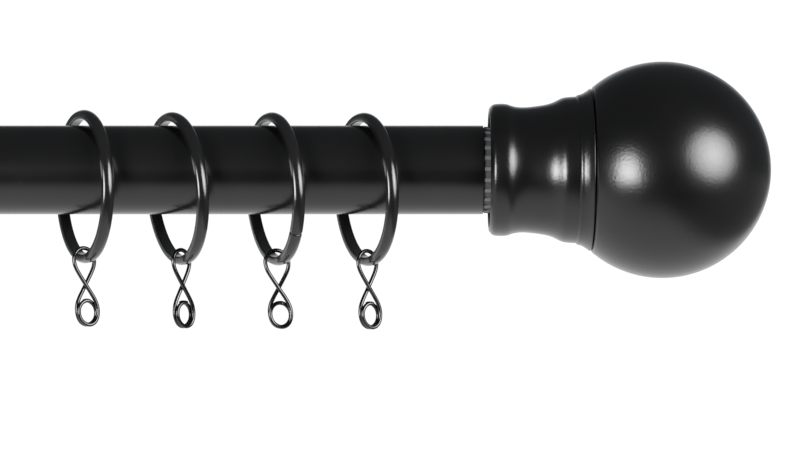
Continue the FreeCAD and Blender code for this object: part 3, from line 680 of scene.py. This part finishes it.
def cradle(side, x):
    ri, thk, leg, half_w, rc = 14.3, 2.5, 10.0, 11.0, 4.0
    path = []  # (centre y, centre z, outward dir y, outward dir z, half width)
    rm = ri + thk / 2.0

    def leg_w(d):  # d from the leg's tip
        return half_w if d >= rc else half_w - (rc - math.sqrt(max(rc * rc - (rc - d) ** 2, 0.0)))

    ds = [0.0, 0.06, 0.25, 0.6, 1.1, 1.8, 2.8, 4.0, 6.0, 8.0, 10.0]
    for d in ds:
        path.append((rm, leg - d, 1.0, 0.0, leg_w(d)))
    seg = 56
    for k in range(1, seg):
        a = -math.pi * k / seg
        path.append((rm * math.cos(a), rm * math.sin(a), math.cos(a), math.sin(a), half_w))
    for d in reversed(ds):
        path.append((-rm, leg - d, -1.0, 0.0, leg_w(d)))
    bm = bmesh.new()
    rows = []
    for i, (y, z, oy, oz, hw) in enumerate(path):
        sec = cut_corners([(-hw, -thk / 2, 0.3), (hw, -thk / 2, 0.3), (hw, thk / 2, 0.3), (-hw, thk / 2, 0.3)], seg=3)
        row = []
        for sx, so in sec:
            row.append(bm.verts.new((sx, y + oy * so, z + oz * so)))
        rows.append(row)
    n = len(rows[0])
    for a, b in zip(rows, rows[1:]):
        for k in range(n):
            bm.faces.new((a[k], a[(k + 1) % n], b[(k + 1) % n], b[k]))
    bm.faces.new(rows[0])
    bm.faces.new(rows[-1])
    place = Matrix.Translation((x, AXIS_Y, 0))
    obj = finish_mesh("saddle_" + side, bm, MAT["bracket_black"], place)
    back = Matrix.Translation((x, AXIS_Y, 0)) @ Matrix.Rotation(math.radians(90), 4, "Z")
    front = Matrix.Translation((x, AXIS_Y, 0)) @ Matrix.Rotation(math.radians(-90), 4, "Z")
    c1 = lathe("cut", [(13.0, 0.0), (13.0, 6.1), (16.6, 2.5), (19.0, 2.5), (19.0, 0.0)], MAT["bracket_black"], back, 48, closed=False)
    c2 = lathe("cut", [(13.0, 0.0), (13.0, 2.5), (19.0, 2.5), (19.0, 0.0)], MAT["bracket_black"], front, 48, closed=False)
    boolean(obj, [c1, c2])
    # threaded boss on the front leg
    prof = cut_corners([(15.3, 2.5), (15.3, 5.0), (19.3, 5.0, 0.4), (19.3, 2.5, 0.25)])
    boss = lathe("boss_" + side, prof, MAT["bracket_black"], front, 48)
    put(obj, "brackets", "cradle_" + side)
    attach(boss, "brackets")


def fluted(u, r, a):
    if r < 6.1:
        return r
    step = TAU / 24
    off = abs((a + step / 2.0) % step - step / 2.0) * 7.0
    return r - 0.45 * max(0.0, min(1.0, (0.62 - off) / 0.25))


def thumb(side, x):
    prof = cut_corners([(14.3, 0.0), (14.3, 2.45, 0.4), (20.5, 2.45), (20.5, 6.6, 0.3), (21.3, 7.0, 0.3), (28.7, 7.0, 0.3), (29.5, 6.4, 0.3),
                        (29.5, 3.0, 0.2), (28.9, 2.4, 0.2), (28.9, 0.0)], closed=False)
    put(lathe("knob_" + side, prof, MAT["bracket_black"], out_of_wall(x, AXIS_Y), 24 * 12, closed=False, radius=fluted, sharp=28.0),
        "thumb_" + side, "thumb_screw_" + side)


for side, x in (("right", 170.0), ("left", -170.0)):
    wall_plate(side, x)
    arm(side, x)
    csk("arm_csk_" + side, "arm_screw_" + side, out_of_wall(x, 0.0), 14.0, "zinc_steel")
    cradle(side, x)
    csk("cradle_csk_" + side, "cradle_screw_" + side,
        Matrix.Translation((x, AXIS_Y + 14.3, 0)) @ Matrix.Rotation(math.radians(90), 4, "Z"), 12.0, "black_screw")
    thumb(side, x)

# any CAD node still shown gets the finish of its slot
slots = {s["node"]: s["material_slot"] for s in frame["record"]["subparts"]}
for n, o in nodes.items():
    o.data.materials.clear()
    o.data.materials.append(MAT[slots[n]])

# ------------------------------------------------------------------ studio


def stage_plane(name, pts, mat):
    bm = bmesh.new()
    bm.faces.new([bm.verts.new(p) for p in pts])
    m = bpy.data.meshes.new(name)
    bm.to_mesh(m)
    bm.free()
    m.materials.append(mat)
    o = bpy.data.objects.new(name, m)
    scene.collection.objects.link(o)
    return o


FLOOR = -0.40


def floor_material():
    """A pale floor, evenly bright to the camera. For reflections it glows: a painted pool of light shaped like a lit
    table top with soft edges, in front and on the right.
    """
    m = bpy.data.materials.new("floor")
    m.use_nodes = True
    nt = m.node_tree
    nt.nodes.remove(nt.nodes["Principled BSDF"])
    tc = nt.nodes.new("ShaderNodeTexCoord")
    sep = nt.nodes.new("ShaderNodeSeparateXYZ")
    nt.links.new(tc.outputs["Object"], sep.inputs["Vector"])

    def edge(along, a, b, lo, hi):
        n = nt.nodes.new("ShaderNodeMapRange")
        n.interpolation_type = "SMOOTHSTEP"
        n.inputs["From Min"].default_value, n.inputs["From Max"].default_value = a, b
        n.inputs["To Min"].default_value, n.inputs["To Max"].default_value = lo, hi
        nt.links.new(along, n.inputs["Value"])
        return n.outputs["Result"]

    def times(a, b):
        n = nt.nodes.new("ShaderNodeMath")
        n.operation = "MULTIPLY"
        nt.links.new(a, n.inputs[0])
        nt.links.new(b, n.inputs[1])
        return n.outputs["Value"]

    slant = nt.nodes.new("ShaderNodeMath")  # the right edge runs away from the object towards the back
    slant.operation = "MULTIPLY_ADD"
    slant.inputs[1].default_value = -0.45
    nt.links.new(sep.outputs["Y"], slant.inputs[0])
    nt.links.new(sep.outputs["X"], slant.inputs[2])
    # painted pool of light: the floor's emission strength falls off at soft edges in front and on the right
    level = times(edge(sep.outputs["Y"], *GLOW_FRONT), edge(slant.outputs["Value"], *GLOW_RIGHT))
    lit = nt.nodes.new("ShaderNodeEmission")
    nt.links.new(level, lit.inputs["Strength"])
    pale = nt.nodes.new("ShaderNodeEmission")
    pale.inputs["Color"].default_value = (1.0, 1.0, 1.0, 1)
    pale.inputs["Strength"].default_value = 1.02
    path = nt.nodes.new("ShaderNodeLightPath")
    mix = nt.nodes.new("ShaderNodeMixShader")
    nt.links.new(path.outputs["Is Camera Ray"], mix.inputs["Fac"])
    nt.links.new(lit.outputs["Emission"], mix.inputs[1])
    nt.links.new(pale.outputs["Emission"], mix.inputs[2])
    nt.links.new(mix.outputs["Shader"], nt.nodes["Material Output"].inputs["Surface"])
    return m


# edges of the painted pool of light in the floor's glow: from, to, strength outside, strength inside
GLOW_FRONT = (-0.85, -0.22, 0.04, 1.18)
GLOW_RIGHT = (0.58, 0.80, 1.0, 0.22)
stage_plane("floor", [(-12, -12, FLOOR), (12, -12, FLOOR), (12, 12, FLOOR), (-12, 12, FLOOR)], floor_material())

# a pale room to look at, a dark one to be reflected: the studio's ceiling and walls are unlit
world = bpy.data.worlds.new("studio")
scene.world = world
world.use_nodes = True
wn = world.node_tree
seen = wn.nodes["Background"]
seen.inputs["Color"].default_value = (1.0, 1.0, 1.0, 1)
seen.inputs["Strength"].default_value = 1.02
dim = wn.nodes.new("ShaderNodeBackground")
dim.inputs["Color"].default_value = (0.9, 0.95, 1.0, 1)
sky = wn.nodes.new("ShaderNodeTexCoord")
sky_xyz = wn.nodes.new("ShaderNodeSeparateXYZ")
wn.links.new(sky.outputs["Generated"], sky_xyz.inputs["Vector"])
back = wn.nodes.new("ShaderNodeMapRange")  # the pale wall behind the object
back.interpolation_type = "SMOOTHSTEP"
for key, value in (("From Min", 0.84), ("From Max", 0.98), ("To Min", 0.105), ("To Max", 1.0)):
    back.inputs[key].default_value = value
wn.links.new(sky_xyz.outputs["Y"], back.inputs["Value"])
wn.links.new(back.outputs["Result"], dim.inputs["Strength"])
path_node = wn.nodes.new("ShaderNodeLightPath")
mixer = wn.nodes.new("ShaderNodeMixShader")
wn.links.new(path_node.outputs["Is Camera Ray"], mixer.inputs["Fac"])
wn.links.new(dim.outputs["Background"], mixer.inputs[1])
wn.links.new(seen.outputs["Background"], mixer.inputs[2])
wn.links.new(mixer.outputs["Shader"], wn.nodes["World Output"].inputs["Surface"])


def lamp(name, power, size, size_y, round_shape=False, spread=180.0, glossy=True, shadow=True):
    l = bpy.data.lights.new(name, "AREA")
    l.shape = "ELLIPSE" if round_shape else "RECTANGLE"
    l.size, l.size_y = size, size_y
    l.energy = power
    l.spread = math.radians(spread)
    l.use_shadow = shadow
    o = bpy.data.objects.new(name, l)
    o.visible_camera = False
    o.visible_glossy = glossy
    scene.collection.objects.link(o)
    return o


def soft_box(name, target, az, el, dist, w, h, power, spread):
    """Azimuth 0 is on the room side, in line with the camera, and grows to the right."""
    a, e = math.radians(az), math.radians(el)
    d = Vector((math.sin(a) * math.cos(e), -math.cos(a) * math.cos(e), math.sin(e)))
    o = lamp(name, power, w, h, round_shape=True, spread=spread)
    o.location = Vector(target) + d * dist
    o.rotation_euler = (-d).to_track_quat("-Z", "Y").to_euler()
    return o


BALL = (0.406, -0.085, 0.0)
soft_box("left_softbox", BALL, -41, -3.5, 1.6, 0.74, 1.15, 5.4, 60)
soft_box("right_softbox", BALL, 50.5, 13, 1.2, 1.25, 1.0, 7.8, 70)

cam = bpy.data.cameras.new("camera")
cam_o = bpy.data.objects.new("camera", cam)
scene.collection.objects.link(cam_o)
scene.camera = cam_o
D_PX = 2800.0
cam.sensor_width = 36.0
cam.lens = 36.0 * D_PX / 794.0
cam.clip_start, cam.clip_end = 0.01, 60.0
dist = D_PX * 28.0 / 88.8 * MM
cam_o.location = (0.350 - 0.0271, -0.085 - dist, -0.0202)
cam_o.rotation_euler = (math.radians(90), 0, 0)
scene.view_settings.view_transform = "Standard"
scene.view_settings.look = "None"
